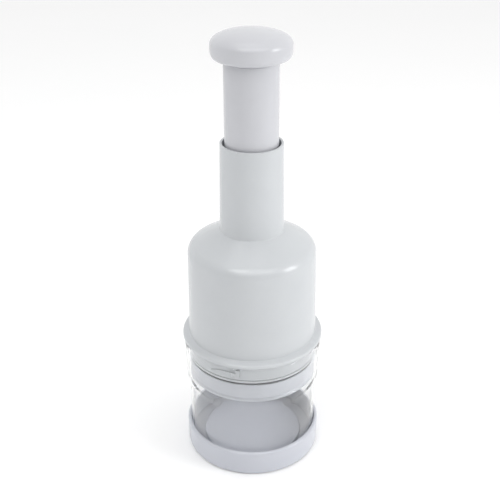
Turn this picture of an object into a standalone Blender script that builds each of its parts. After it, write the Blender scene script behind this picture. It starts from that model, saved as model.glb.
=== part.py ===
"""A hand-press food chopper: press the knob and a zigzag blade comes down inside a clear cup.

Run with: blender --background --python part.py

Frame: Z is the chopper's own axis and points up. The origin is the centre of the foot ring's underside.
The front is -Y. Every length is in metres, written as millimetres times MM.
Each named object is one separate piece of the real chopper.
"""

import math

import bmesh
import bpy

MM = 0.001

# Driving dimensions of the outside.
TOTAL_HEIGHT = 265.0 * MM
NECK_TOP = 202.5 * MM
SHOULDER_TOP = 150.0 * MM
SHOULDER_EDGE = 139.5 * MM
LIP_TOP = 81.3 * MM
LIP_UNDERSIDE = 78.9 * MM
SKIRT_FOOT = 67.0 * MM
BASE_HEIGHT = 16.5 * MM
BASE_UNDERSIDE = 0.6 * MM

BASE_RADIUS = 42.0 * MM
CUP_RADIUS = 39.6 * MM
CUP_WALL = 1.7 * MM
LIP_RADIUS = 42.8 * MM
SKIRT_RADIUS = 39.3 * MM
BODY_FOOT_RADIUS = 38.9 * MM
BODY_TOP_RADIUS = 38.0 * MM
NECK_FOOT_RADIUS = 18.8 * MM
NECK_TOP_RADIUS = 18.0 * MM
KNOB_RADIUS = 22.3 * MM
TUBE_RADIUS = 15.25 * MM

SHELL_WALL = 2.0 * MM
GAP = 0.3 * MM  # between pieces that touch or rest on each other

# The press stroke, and how far the blade turns in it.
STROKE = 46.5 * MM
BLADE_TURN_PER_METRE = 16.85  # radians of blade turn for each metre of press

# Heights inside.
FLOOR_TOP = 3.0 * MM
MAT_TOP = 5.4 * MM
CUP_STEP = 52.0 * MM
GUARD_FOOT = 53.7 * MM
GUARD_SHELF = 65.7 * MM
BLADE_TIP = MAT_TOP + GAP + STROKE
HUB_UNDERSIDE = 106.5 * MM
HUB_TOP = 111.5 * MM
SPRING_CUP_UNDERSIDE = 113.3 * MM
SPRING_CUP_TOP = 147.4 * MM
FLANGE = (140.5 * MM, 142.5 * MM)  # the spring cup's flange, which the three screws hold
NUT_FLOOR = 115.0 * MM
NUT_BOSS_TOP = 122.7 * MM
WEB_UNDERSIDE = 238.0 * MM
WEB_TOP = 241.0 * MM
TUBE_FOOT = 165.0 * MM
TUBE_SHOULDER = 248.1 * MM

BORE_RADIUS = 16.6 * MM
STEM_CORE = 4.5 * MM
STEM_RIB_TIP = 6.5 * MM
STEM_RIBS = 3
MAT_RADIUS = 30.9 * MM
WIPER_RADIUS = 35.8 * MM
GUARD_BORE = 36.2 * MM
SCREW_CIRCLE = 23.2 * MM
SCREW_ANGLES = (30.0, 150.0, 270.0)

# The zigzag of the blade in plan.
BLADE_PITCH = 10.4 * MM
BLADE_REACH = 15.0 * MM
BLADE_END_REACH = 10.5 * MM
BLADE_FOLDS = 7
BLADE_HALF_THICKNESS = 0.45 * MM

# The bayonet lock between the housing's skirt and the clear cup's collar.
LOCK_COUNT = 3
LOCK_STOP_ANGLE = -104.5  # degrees about Z of the first stop, just left of the front
LOCK_LUG = 4.4  # degrees from a stop to the far end of the cup's lug, which the stop rests against
LOCK_RIB_RADIUS = 40.1 * MM

BIG_STEPS = 40  # facets round the outer pieces
SMALL_STEPS = 28  # facets round the inner pieces
SCREW_STEPS = 14
WIDE_FILLET = 7.0 * MM


# ---------------------------------------------------------------- materials


def material(name, colour, roughness, metallic=0.0, transmission=0.0):
    """A Principled material of one colour, given as linear red, green and blue."""
    made = bpy.data.materials.new(name)
    made.use_nodes = True
    shader = made.node_tree.nodes["Principled BSDF"]
    shader.inputs["Base Color"].default_value = (*colour, 1.0)
    shader.inputs["Roughness"].default_value = roughness
    shader.inputs["Metallic"].default_value = metallic
    shader.inputs["Transmission Weight"].default_value = transmission
    return made


# ------------------------------------------------------------ shape helpers


def object_from(name, mesh_builder, finish, smooth_angle=35.0):
    """Makes a named object from a bmesh, with its faces pointing out and its round sides smooth."""
    bmesh.ops.recalc_face_normals(mesh_builder, faces=mesh_builder.faces)
    if mesh_builder.calc_volume(signed=True) < 0:
        bmesh.ops.reverse_faces(mesh_builder, faces=mesh_builder.faces)
    mesh = bpy.data.meshes.new(name)
    mesh_builder.to_mesh(mesh)
    mesh_builder.free()
    mesh.shade_smooth()
    mesh.set_sharp_from_angle(angle=math.radians(smooth_angle))
    if finish is not None:
        mesh.materials.append(finish)
    made = bpy.data.objects.new(name, mesh)
    bpy.context.scene.collection.objects.link(made)
    return made


def arc(centre, radii, start, end, steps, power=2.0):
    """Points from angle start to end, in degrees, on an ellipse, or on a squarer curve of higher power."""
    points = []
    for i in range(steps + 1):
        angle = math.radians(start + (end - start) * i / steps)
        share = []
        for part in (math.cos(angle), math.sin(angle)):
            share.append(math.copysign(abs(part) ** (2 / power), part))
        points.append((centre[0] + radii[0] * share[0], centre[1] + radii[1] * share[1]))
    return points


def rounded(corners, steps=2):
    """An outline through corners, each (radius, height) or (radius, height, fillet).

    A fillet has this many facets, or twice as many where it is wide enough to show them.
    """
    outline = []
    count = len(corners)
    for i, corner in enumerate(corners):
        if len(corner) == 2:
            outline.append(corner)
            continue
        x, z, fillet = corner
        before = corners[i - 1]
        after = corners[(i + 1) % count]
        into = (before[0] - x, before[1] - z)
        out = (after[0] - x, after[1] - z)
        into_length = math.hypot(*into)
        out_length = math.hypot(*out)
        into = (into[0] / into_length, into[1] / into_length)
        out = (out[0] / out_length, out[1] / out_length)
        half = math.acos(max(-1.0, min(1.0, into[0] * out[0] + into[1] * out[1]))) / 2
        reach = fillet / math.tan(half)
        start = (x + into[0] * reach, z + into[1] * reach)
        end = (x + out[0] * reach, z + out[1] * reach)
        middle = (into[0] + out[0], into[1] + out[1])
        middle_length = math.hypot(*middle)
        depth = fillet / math.sin(half)
        centre = (x + middle[0] / middle_length * depth, z + middle[1] / middle_length * depth)
        first = math.atan2(start[1] - centre[1], start[0] - centre[0])
        last = math.atan2(end[1] - centre[1], end[0] - centre[0])
        sweep = (last - first + math.pi) % (2 * math.pi) - math.pi
        facets = 2 * steps if fillet > WIDE_FILLET else steps
        for k in range(facets + 1):
            angle = first + sweep * k / facets
            outline.append((centre[0] + fillet * math.cos(angle), centre[1] + fillet * math.sin(angle)))
    return outline


def turned(name, outline, finish, steps=BIG_STEPS):
    """A solid turned about Z from a closed outline of (radius, height) points."""
    shape = bmesh.new()
    rings = []
    for radius, height in outline:
        ring = []
        for k in range(steps if radius > 1e-6 else 0):
            angle = 2 * math.pi * k / steps
            ring.append(shape.verts.new((radius * math.cos(angle), radius * math.sin(angle), height)))
        rings.append(ring)
    for i, first in enumerate(rings):
        after = (i + 1) % len(rings)
        second = rings[after]
        if first and second:
            for k in range(steps):
                beyond = (k + 1) % steps
                shape.faces.new((first[k], first[beyond], second[beyond], second[k]))
        elif first or second:
            close_end(shape, first or second, outline[after if first else i][1])
    return object_from(name, shape, finish)


def close_end(shape, ring, height):
    """Closes a ring with one flat face, or with a cone up to the axis at another height."""
    if abs(ring[0].co.z - height) < 1e-7:
        shape.faces.new(ring)
        return
    apex = shape.verts.new((0.0, 0.0, height))
    for k, corner in enumerate(ring):
        shape.faces.new((corner, ring[(k + 1) % len(ring)], apex))


def lofted(name, layers, finish, smooth_angle=35.0):
    """A solid through layers, each a list of (x, y, z) points, with a flat cap at both ends."""
    shape = bmesh.new()
    rings = [[shape.verts.new(point) for point in layer] for layer in layers]
    for lower, upper in zip(rings, rings[1:]):
        for k in range(len(lower)):
            after = (k + 1) % len(lower)
            shape.faces.new((lower[k], lower[after], upper[after], upper[k]))
    shape.faces.new(rings[0][::-1])
    shape.faces.new(rings[-1])
    shape.normal_update()
    bmesh.ops.triangulate(shape, faces=shape.faces)
    return object_from(name, shape, finish, smooth_angle)


def prism(name, outline, low, high, finish=None):
    """A plan outline of (x, y) points carried from one height to another."""
    return lofted(name, [[(x, y, z) for x, y in outline] for z in (low, high)], finish)


def sector(name, radii, stations, finish=None):
    """A block between two radii. Each station is (angle in degrees, lower height, upper height)."""
    layers = []
    for degrees, foot, head in stations:
        angle = math.radians(degrees)
        inner = (radii[0] * math.cos(angle), radii[0] * math.sin(angle))
        outer = (radii[1] * math.cos(angle), radii[1] * math.sin(angle))
        layers.append([(*inner, foot), (*outer, foot), (*outer, head), (*inner, head)])
    return lofted(name, layers, finish)


def level(start, end, foot, head, steps=2):
    """Stations for a sector of one height between two angles."""
    return [(start + (end - start) * i / steps, foot, head) for i in range(steps + 1)]


def combine(target, other, operation):
    """Cuts other from target, or joins it to target, and hides other as a helper."""
    modifier = target.modifiers.new(other.name, "BOOLEAN")
    modifier.operation = operation
    modifier.solver = "EXACT"
    modifier.object = other
    other.hide_render = True
    other.display_type = "WIRE"
    return target


def cut(target, other):
    return combine(target, other, "DIFFERENCE")


def join(target, other):
    return combine(target, other, "UNION")


def circle(radius, centre=(0.0, 0.0), steps=SCREW_STEPS):
    """The plan of an upright round bar."""
    outline = []
    for k in range(steps):
        angle = 2 * math.pi * k / steps
        outline.append((centre[0] + radius * math.cos(angle), centre[1] + radius * math.sin(angle)))
    return outline


def cylinder(name, radius, low, high, centre=(0.0, 0.0), steps=SCREW_STEPS):
    """An upright round bar that cuts a hole."""
    return prism(name, circle(radius, centre, steps), low, high)


def coil(name, radius, wire, low, high, turns, finish, steps=13):
    """A wire spring that stands between two heights, with a closer turn at each end."""
    curve = bpy.data.curves.new(name, "CURVE")
    curve.dimensions = "3D"
    curve.bevel_depth = wire
    curve.bevel_resolution = 1
    curve.use_fill_caps = True
    spline = curve.splines.new("POLY")
    count = round(turns * steps)
    spline.points.add(count)
    close_rise = 2.4 * wire
    first = low + wire
    last = high - wire
    open_turns = turns - 2
    open_rise = (last - first - 2 * close_rise) / open_turns
    for i in range(count + 1):
        turn = i / steps
        open_part = min(max(turn - 1, 0.0), open_turns)
        closed_part = turn - open_part
        height = first + closed_part * close_rise + open_part * open_rise
        angle = 2 * math.pi * turn
        spline.points[i].co = (radius * math.cos(angle), radius * math.sin(angle), height, 1.0)
    curve.materials.append(finish)
    made = bpy.data.objects.new(name, curve)
    bpy.context.scene.collection.objects.link(made)
    return made


def screw(name, place, head_foot, head, shank, finish, points_up=True):
    """A pan-head screw with a cross recess. head and shank are each a radius and a length.

    place is the screw's axis, and head_foot is the height of the head's bearing face.
    """
    head_radius, head_height = head
    shank_radius, shank_length = shank
    way = 1.0 if points_up else -1.0
    dome = 0.35 * head_height
    outline = [
        (0.0, -head_height),
        (0.6 * head_radius, -head_height),
        (0.9 * head_radius, dome - head_height),
        (head_radius, 2 * dome - head_height),
        (head_radius, 0.0),
        (shank_radius, 0.0),
        (shank_radius, shank_length - shank_radius),
        (0.35 * shank_radius, shank_length),
        (0.0, shank_length),
    ]
    made = turned(name, [(r, way * z) for r, z in outline], finish, SCREW_STEPS)
    made.location = (place[0], place[1], head_foot)
    half_width = 0.16 * head_radius
    reach = 0.55 * head_radius
    cross = []
    for along, across in ((1, 0), (0, 1), (-1, 0), (0, -1)):
        for x, y in ((reach, -half_width), (reach, half_width), (half_width, half_width)):
            cross.append((place[0] + along * x - across * y, place[1] + across * x + along * y))
    ends = [head_foot - way * head_height * share for share in (0.45, 1.5)]
    cut(made, prism(f"{name}_recess", cross, min(ends), max(ends)))
    return made


# ------------------------------------------------------------ base and cup


def base_cap(finish):
    """The cap under the cup: a low wall, a floor, and a groove below for the foot ring."""
    groove_top = 1.9 * MM
    recess_top = 1.0 * MM
    corners = [
        (0.0, recess_top),
        (32.5 * MM, recess_top),
        (32.5 * MM, groove_top),
        (37.5 * MM, groove_top),
        (37.5 * MM, BASE_UNDERSIDE),
        (41.8 * MM, BASE_UNDERSIDE, 0.9 * MM),
        (BASE_RADIUS, BASE_HEIGHT, 1.6 * MM),
        (CUP_RADIUS + GAP, BASE_HEIGHT, 0.3 * MM),
        (CUP_RADIUS + GAP, FLOOR_TOP),
        (0.0, FLOOR_TOP),
    ]
    return turned("base_cap", rounded(corners), finish)


def chopping_mat(finish):
    """The loose disc on the floor that the blade comes down on."""
    low = FLOOR_TOP + GAP
    corners = [(0.0, low), (MAT_RADIUS, low, 0.4 * MM), (MAT_RADIUS, MAT_TOP, 0.7 * MM), (0.0, MAT_TOP)]
    return turned("chopping_mat", rounded(corners, 1), finish)


def foot_ring(finish):
    """The soft ring that the chopper stands on."""
    corners = [
        (32.8 * MM, 0.0, 0.4 * MM),
        (37.2 * MM, 0.0, 0.4 * MM),
        (37.2 * MM, 1.6 * MM),
        (32.8 * MM, 1.6 * MM),
    ]
    return turned("foot_ring", rounded(corners, 1), finish)


def clear_cup(finish):
    """The clear tube. Its wider collar takes the housing's skirt, and has lugs for the bayonet."""
    low = FLOOR_TOP + GAP
    high = LIP_UNDERSIDE - 0.5 * MM
    bore = CUP_RADIUS - CUP_WALL
    collar_top = 42.3 * MM
    collar_foot = 41.2 * MM
    corners = [
        (bore, low, 0.5 * MM),
        (CUP_RADIUS, low, 0.5 * MM),
        (CUP_RADIUS, 46.0 * MM, 6.0 * MM),
        (collar_foot, 51.5 * MM, 6.0 * MM),
        (collar_top, high, 0.5 * MM),
        (LOCK_RIB_RADIUS + 0.8 * MM, high, 0.5 * MM),
        (collar_foot - CUP_WALL, CUP_STEP, 6.0 * MM),
        (bore, 46.6 * MM, 6.0 * MM),
    ]
    cup = turned("clear_cup", rounded(corners), finish)
    for i in range(LOCK_COUNT):
        stop = LOCK_STOP_ANGLE + 360.0 / LOCK_COUNT * i
        stations = level(stop - LOCK_LUG, stop - 1.2, 74.4 * MM, 75.6 * MM)
        join(cup, sector(f"cup_lug_{i + 1}", (39.65 * MM, 41.4 * MM), stations))
    return cup


# ---------------------------------------------------------------- housing


def shoulder_height(radius, depth):
    """The height, at a radius, of the cone that lies at a depth below the shoulder's outer face."""
    slope = (SHOULDER_TOP - SHOULDER_EDGE) / (BODY_TOP_RADIUS - NECK_FOOT_RADIUS)
    return SHOULDER_TOP - (radius - NECK_FOOT_RADIUS) * slope - depth * math.hypot(1.0, slope)


def housing_shell(finish):
    """The one-piece shell: skirt, lip, body, shoulder and neck, open below and at the top."""
    skirt_bore = SKIRT_RADIUS - 1.8 * MM
    body_bore = BODY_FOOT_RADIUS - SHELL_WALL
    top_bore = BODY_TOP_RADIUS - SHELL_WALL
    groove = SKIRT_RADIUS - 0.6 * MM
    corners = [
        (skirt_bore, SKIRT_FOOT),
        (SKIRT_RADIUS, SKIRT_FOOT, 0.4 * MM),
        (SKIRT_RADIUS, 68.6 * MM),
        (groove, 68.7 * MM),
        (groove, 69.2 * MM),
        (SKIRT_RADIUS, 69.3 * MM),
        (SKIRT_RADIUS, LIP_UNDERSIDE),
        (LIP_RADIUS, LIP_UNDERSIDE, 0.8 * MM),
        (LIP_RADIUS, LIP_TOP, 0.5 * MM),
        (BODY_FOOT_RADIUS, LIP_TOP + 1.4 * MM, 0.3 * MM),
        (BODY_TOP_RADIUS, SHOULDER_EDGE, 8.0 * MM),
        (NECK_FOOT_RADIUS, SHOULDER_TOP, 0.8 * MM),
        (NECK_TOP_RADIUS, NECK_TOP, 0.4 * MM),
        (BORE_RADIUS, NECK_TOP, 0.3 * MM),
        (BORE_RADIUS, SPRING_CUP_TOP + GAP),
        (NECK_FOOT_RADIUS, shoulder_height(NECK_FOOT_RADIUS, SHELL_WALL)),
        (top_bore, shoulder_height(top_bore, SHELL_WALL), 6.0 * MM),
        (body_bore, LIP_TOP + 2.5 * MM),
        (skirt_bore, LIP_UNDERSIDE),
    ]
    shell = turned("housing_shell", rounded(corners), finish)
    add_lock_ribs(shell)
    add_screw_bosses(shell)
    return shell


def add_lock_ribs(shell):
    """Three ribs round the skirt. Each starts with a ramp, runs level and ends in an upright stop."""
    root = SKIRT_RADIUS - 0.8 * MM
    for i in range(LOCK_COUNT):
        stop = LOCK_STOP_ANGLE + 360.0 / LOCK_COUNT * i
        ramp = [(stop - 24.0, 70.8 * MM, 72.0 * MM), (stop - 19.0, 71.7 * MM, 72.9 * MM)]
        stations = ramp + level(stop - 14.0, stop + 0.3, 72.8 * MM, 74.0 * MM, 3)
        join(shell, sector(f"lock_rib_{i + 1}", (root, LOCK_RIB_RADIUS), stations))
        tab = (root - 0.1 * MM, LOCK_RIB_RADIUS + 0.1 * MM)
        join(shell, sector(f"lock_stop_{i + 1}", tab, level(stop, stop + 3.6, 71.3 * MM, 76.0 * MM)))


def add_screw_bosses(shell):
    """Three bosses under the shoulder, each with a blind hole for a screw."""
    foot = FLANGE[1] + GAP
    for i, angle in enumerate(SCREW_ANGLES):
        place = (SCREW_CIRCLE * math.cos(math.radians(angle)), SCREW_CIRCLE * math.sin(math.radians(angle)))
        plan = circle(3.0 * MM, place)
        head = [(x, y, shoulder_height(math.hypot(x, y), 0.5 * SHELL_WALL)) for x, y in plan]
        join(shell, lofted(f"boss_{i + 1}", [[(x, y, foot) for x, y in plan], head], None))
        cut(shell, cylinder(f"boss_hole_{i + 1}", 1.55 * MM, foot - 1.0 * MM, foot + 2.8 * MM, place))


def guard_ring(finish):
    """The ring under the housing that holds the wiper disc. Its upper part plugs into the skirt."""
    plug = SKIRT_RADIUS - 1.8 * MM - GAP
    ledge = 55.4 * MM
    corners = [
        (34.6 * MM, GUARD_FOOT, 0.3 * MM),
        (SKIRT_RADIUS, GUARD_FOOT, 0.5 * MM),
        (SKIRT_RADIUS, 55.0 * MM, 0.3 * MM),
        (38.6 * MM, 56.0 * MM),
        (38.6 * MM, 56.8 * MM),
        (39.1 * MM, 57.2 * MM),
        (39.1 * MM, GUARD_SHELF, 0.2 * MM),
        (plug, GUARD_SHELF),
        (plug, 76.0 * MM),
        (GUARD_BORE, 76.0 * MM),
        (GUARD_BORE, ledge),
        (34.6 * MM, ledge),
    ]
    ring = turned("guard_ring", rounded(corners), finish)
    for i in range(LOCK_COUNT):
        middle = 360.0 / LOCK_COUNT * i
        radii = (35.3 * MM, GUARD_BORE + 0.4 * MM)
        stations = level(middle - 4.0, middle + 4.0, 58.6 * MM, 59.6 * MM)
        join(ring, sector(f"wiper_clip_{i + 1}", radii, stations))
    return ring


def seal_ring(finish):
    """The flat dark gasket between the skirt's foot and the guard ring's shelf."""
    inner = SKIRT_RADIUS - 1.8 * MM
    low = GUARD_SHELF + GAP
    high = SKIRT_FOOT - GAP
    corners = [(inner, low), (38.9 * MM, low), (38.9 * MM, high), (inner, high)]
    return turned("seal_ring", corners, finish)


# ------------------------------------------------- spring cup and ratchet


def toothed_disc(name, radii, flat, root, tip, teeth, finish):
    """A ring with a flat side and, on its other side, saw teeth that stand from root to tip.

    The teeth lean the same way whichever side they face, so that two such rings mesh.
    """
    parts = 3
    way = 1.0 if tip > flat else -1.0
    shape = bmesh.new()

    def point(radius, angle, height):
        return shape.verts.new((radius * math.cos(angle), radius * math.sin(angle), height))

    columns = []
    for k in range(teeth * parts):
        angle = way * 2 * math.pi * k / (teeth * parts)
        step = k % parts
        rise = root + (tip - root) * step / parts
        column = {"flat": [point(r, angle, flat) for r in radii]}
        column["at"] = [point(r, angle, rise) for r in radii]
        column["tip"] = [point(r, angle, tip) for r in radii] if step == 0 else None
        columns.append(column)
    for k, column in enumerate(columns):
        after = columns[(k + 1) % len(columns)]
        ends = after["tip"] or after["at"]
        for side in (0, 1):
            wall = [column["flat"][side], after["flat"][side]]
            if after["tip"]:
                wall.append(after["at"][side])
            wall += [ends[side], column["at"][side]]
            shape.faces.new(wall)
        shape.faces.new((column["flat"][0], column["flat"][1], after["flat"][1], after["flat"][0]))
        shape.faces.new((column["at"][0], column["at"][1], ends[1], ends[0]))
        if after["tip"]:
            shape.faces.new((after["at"][0], after["at"][1], after["tip"][1], after["tip"][0]))
    return object_from(name, shape, finish, 20.0)


def spring_cup(finish):
    """The sleeve under the neck. Its floor holds the ratchet and the springs round the stem."""
    bore = BORE_RADIUS
    outer = bore + 1.7 * MM
    floor = SPRING_CUP_UNDERSIDE
    stem_hole = 7.3 * MM
    pocket = 9.6 * MM
    boss = 12.6 * MM
    flange_radius = 26.8 * MM
    corners = [
        (stem_hole, floor),
        (outer, floor, 0.6 * MM),
        (outer, FLANGE[0]),
        (flange_radius, FLANGE[0]),
        (flange_radius, FLANGE[1]),
        (outer, FLANGE[1]),
        (outer, SPRING_CUP_TOP),
        (bore, SPRING_CUP_TOP),
        (bore, NUT_FLOOR),
        (boss, NUT_FLOOR),
        (boss, NUT_BOSS_TOP),
        (pocket, NUT_BOSS_TOP),
        (pocket, NUT_FLOOR),
        (stem_hole, NUT_FLOOR),
    ]
    cup = turned("spring_cup", rounded(corners, 1), finish, SMALL_STEPS)
    teeth = toothed_disc(
        "floor_teeth", (stem_hole + 0.1 * MM, 9.2 * MM), NUT_FLOOR - 0.8 * MM, NUT_FLOOR + 0.2 * MM,
        NUT_FLOOR + 1.2 * MM, 12, None,
    )
    join(cup, teeth)
    for i, angle in enumerate(SCREW_ANGLES):
        place = (SCREW_CIRCLE * math.cos(math.radians(angle)), SCREW_CIRCLE * math.sin(math.radians(angle)))
        cut(cup, cylinder(f"flange_hole_{i + 1}", 1.6 * MM, FLANGE[0] - MM, FLANGE[1] + MM, place))
    return cup


def spring_cup_screws(finish):
    for i, angle in enumerate(SCREW_ANGLES):
        place = (SCREW_CIRCLE * math.cos(math.radians(angle)), SCREW_CIRCLE * math.sin(math.radians(angle)))
        name = f"spring_cup_screw_{i + 1}"
        screw(name, place, FLANGE[0] - GAP, (2.8 * MM, 2.0 * MM), (1.2 * MM, 5.0 * MM), finish)


def star(core, tip, half_width, z, turn):
    """The stem's section at height z: a round core with ribs, turned by an angle."""
    points = []
    core_half = math.asin(half_width / core)
    tip_half = math.asin(half_width / tip)
    for rib in range(STEM_RIBS):
        middle = turn + 2 * math.pi * rib / STEM_RIBS
        gap = 2 * math.pi / STEM_RIBS - 2 * core_half
        for radius, angle in (
            (core, middle - core_half),
            (tip, middle - tip_half),
            (tip, middle + tip_half),
            (core, middle + core_half),
            (core, middle + core_half + gap / 3),
            (core, middle + core_half + 2 * gap / 3),
        ):
            points.append((radius * math.cos(angle), radius * math.sin(angle), z))
    return points


def twisted_star(name, core, tip, half_width, low, high, layers, finish=None):
    """The ribbed section carried up, turning at the rate that the press turns the blade."""
    rings = []
    for i in range(layers + 1):
        z = low + (high - low) * i / layers
        rings.append(star(core, tip, half_width, z, -BLADE_TURN_PER_METRE * (z - NUT_FLOOR)))
    return lofted(name, rings, finish)


def index_nut(finish):
    """The ratchet nut: saw teeth below, and a bore that the stem's slanting ribs run through."""
    top = 120.3 * MM
    nut = toothed_disc(
        "index_nut", (5.6 * MM, 9.2 * MM), top, NUT_FLOOR + 1.5 * MM, NUT_FLOOR + 0.5 * MM, 12, finish
    )
    low = NUT_FLOOR + 2.0 * MM
    high = top - 0.1 * MM
    corners = [(4.0 * MM, low), (6.4 * MM, low), (6.4 * MM, high), (4.0 * MM, high)]
    join(nut, turned("nut_lining", corners, None, SMALL_STEPS))
    bore = twisted_star(
        "nut_bore", STEM_CORE + GAP, STEM_RIB_TIP + GAP, 1.3 * MM + GAP, NUT_FLOOR - MM, top + MM, 4
    )
    return cut(nut, bore)


def nut_spring(finish):
    """The wavy ring of spring steel that keeps the nut's teeth down in the floor's teeth."""
    middle = 121.8 * MM
    wave = 0.8 * MM
    half = 0.15 * MM
    shape = bmesh.new()
    rings = []
    steps = 36
    for k in range(steps):
        angle = 2 * math.pi * k / steps
        height = middle + wave * math.cos(3 * angle)
        section = []
        for radius, rise in ((7.4 * MM, -half), (9.1 * MM, -half), (9.1 * MM, half), (7.4 * MM, half)):
            point = (radius * math.cos(angle), radius * math.sin(angle), height + rise)
            section.append(shape.verts.new(point))
        rings.append(section)
    for k, first in enumerate(rings):
        second = rings[(k + 1) % steps]
        for side in range(4):
            after = (side + 1) % 4
            shape.faces.new((first[side], first[after], second[after], second[side]))
    return object_from("nut_spring", shape, finish)


def spring_seat(finish):
    """The steel washer between the ratchet's boss and the return spring."""
    low = NUT_BOSS_TOP + GAP + 0.3 * MM
    corners = [(7.4 * MM, low), (12.4 * MM, low), (12.4 * MM, low + 0.9 * MM), (7.4 * MM, low + 0.9 * MM)]
    return turned("spring_seat", corners, finish, SMALL_STEPS)


def return_spring(finish):
    """The main spring, which lifts the plunger again."""
    return coil("return_spring", 10.2 * MM, 0.8 * MM, 124.6 * MM, WEB_UNDERSIDE - GAP, 11.0, finish)


# ---------------------------------------------------------------- plunger


def plunger_tube(finish):
    """The tube that slides in the neck: a guide flange below, a web across it, a spigot on top."""
    bore = 13.2 * MM
    spigot = 14.6 * MM
    corners = [
        (bore, TUBE_FOOT, 0.4 * MM),
        (16.2 * MM, TUBE_FOOT, 0.5 * MM),
        (16.2 * MM, TUBE_FOOT + 3.0 * MM),
        (TUBE_RADIUS, TUBE_FOOT + 4.0 * MM),
        (TUBE_RADIUS, TUBE_SHOULDER),
        (spigot, TUBE_SHOULDER),
        (spigot, 252.6 * MM, 0.4 * MM),
        (bore, 252.6 * MM),
        (bore, WEB_TOP),
        (5.6 * MM, WEB_TOP),
        (5.6 * MM, WEB_UNDERSIDE),
        (bore, WEB_UNDERSIDE),
    ]
    return turned("plunger_tube", rounded(corners, 1), finish, SMALL_STEPS)


def knob_outline():
    """The knob's outer side, from its collar round the brim and over the flat crown."""
    underside = TUBE_SHOULDER + GAP + 1.0 * MM
    brim_middle = 255.8 * MM
    brim_foot = 17.4 * MM
    crown = 2.9 * MM
    brim = arc((brim_foot, brim_middle), (KNOB_RADIUS - brim_foot, brim_middle - underside), -90, 0, 5, 2.8)
    rise = TOTAL_HEIGHT - crown - brim_middle
    top = []
    for radius, height in arc((0.0, brim_middle), (KNOB_RADIUS, rise), 0, 90, 12, 3.6):
        top.append((radius, height + crown * (1.0 - (radius / KNOB_RADIUS) ** 2)))
    return [(16.4 * MM, underside)] + brim + top[1:-1] + [(0.0, TOTAL_HEIGHT)]


def knob(finish):
    """The hollow knob that the palm presses. Its collar grips the plunger's spigot."""
    socket = 14.9 * MM
    foot = TUBE_SHOULDER + GAP
    cavity = [
        (0.0, TOTAL_HEIGHT - 2.4 * MM),
        (9.0 * MM, TOTAL_HEIGHT - 3.2 * MM),
        (15.0 * MM, 260.4 * MM),
        (18.6 * MM, 258.2 * MM),
        (19.9 * MM, 254.9 * MM),
        (18.6 * MM, 253.0 * MM),
        (socket, 252.9 * MM),
        (socket, foot),
    ]
    outline = [(16.1 * MM, foot)] + knob_outline() + cavity
    return turned("knob", outline, finish, 36)


def stem_bush(finish):
    """The flanged bush in the web, which the stem turns in."""
    low = WEB_UNDERSIDE - 0.4 * MM
    flange = WEB_TOP + GAP
    corners = [
        (4.0 * MM, low),
        (5.3 * MM, low),
        (5.3 * MM, flange),
        (7.4 * MM, flange),
        (7.4 * MM, flange + MM),
        (4.0 * MM, flange + MM),
    ]
    return turned("stem_bush", corners, finish, SMALL_STEPS)


def stem_washer(finish):
    low = 242.9 * MM
    corners = [(1.9 * MM, low), (7.0 * MM, low), (7.0 * MM, low + 0.8 * MM), (1.9 * MM, low + 0.8 * MM)]
    return turned("stem_washer", corners, finish, SMALL_STEPS)


# ---------------------------------------------------------- blade carrier


def drive_stem(finish):
    """The column from the plunger's web down to the blade's hub, with slanting ribs on its lower part."""
    journal_top = 242.6 * MM
    collar = (HUB_TOP + GAP, SPRING_CUP_UNDERSIDE - GAP)
    spigot_foot = 110.1 * MM
    core = [
        (0.0, spigot_foot),
        (3.6 * MM, spigot_foot),
        (3.6 * MM, collar[0]),
        (6.9 * MM, collar[0]),
        (6.9 * MM, collar[1]),
        (STEM_CORE, collar[1]),
        (STEM_CORE, 170.0 * MM),
        (5.5 * MM, 172.0 * MM),
        (5.5 * MM, WEB_UNDERSIDE - 0.7 * MM),
        (3.7 * MM, WEB_UNDERSIDE - 0.7 * MM),
        (3.7 * MM, journal_top),
        (0.0, journal_top),
    ]
    stem = turned("drive_stem", core, finish, 24)
    ribs = twisted_star("stem_ribs", STEM_CORE - 0.2 * MM, STEM_RIB_TIP, 1.3 * MM, 112.6 * MM, 170.5 * MM, 16)
    join(stem, ribs)
    cut(stem, cylinder("stem_top_hole", 1.7 * MM, 228.0 * MM, journal_top + MM))
    return cut(stem, cylinder("stem_foot_hole", 1.55 * MM, spigot_foot - MM, 121.0 * MM))


def blade_plan(half_thickness, overhang=0.0):
    """The closed outline of the zigzag strip in plan, with its corners mitred."""
    line = []
    for i in range(BLADE_FOLDS):
        x = (i - (BLADE_FOLDS - 1) / 2) * BLADE_PITCH
        reach = BLADE_END_REACH if i in (0, BLADE_FOLDS - 1) else BLADE_REACH
        line.append([x, reach if i % 2 == 0 else -reach])
    for end, beside in ((0, 1), (-1, -2)):
        dx = line[end][0] - line[beside][0]
        dy = line[end][1] - line[beside][1]
        length = math.hypot(dx, dy)
        line[end][0] += dx / length * overhang
        line[end][1] += dy / length * overhang
    left = []
    right = []
    for i, (x, y) in enumerate(line):
        before = line[max(i - 1, 0)]
        after = line[min(i + 1, len(line) - 1)]
        first = math.atan2(y - before[1], x - before[0]) if i > 0 else None
        last = math.atan2(after[1] - y, after[0] - x) if i < len(line) - 1 else None
        first = last if first is None else first
        last = first if last is None else last
        turn = (last - first + math.pi) % (2 * math.pi) - math.pi
        middle = first + turn / 2
        reach = half_thickness / math.cos(turn / 2)
        side = (-math.sin(middle) * reach, math.cos(middle) * reach)
        left.append((x + side[0], y + side[1]))
        right.append((x - side[0], y - side[1]))
    return right + left[::-1]


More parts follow.
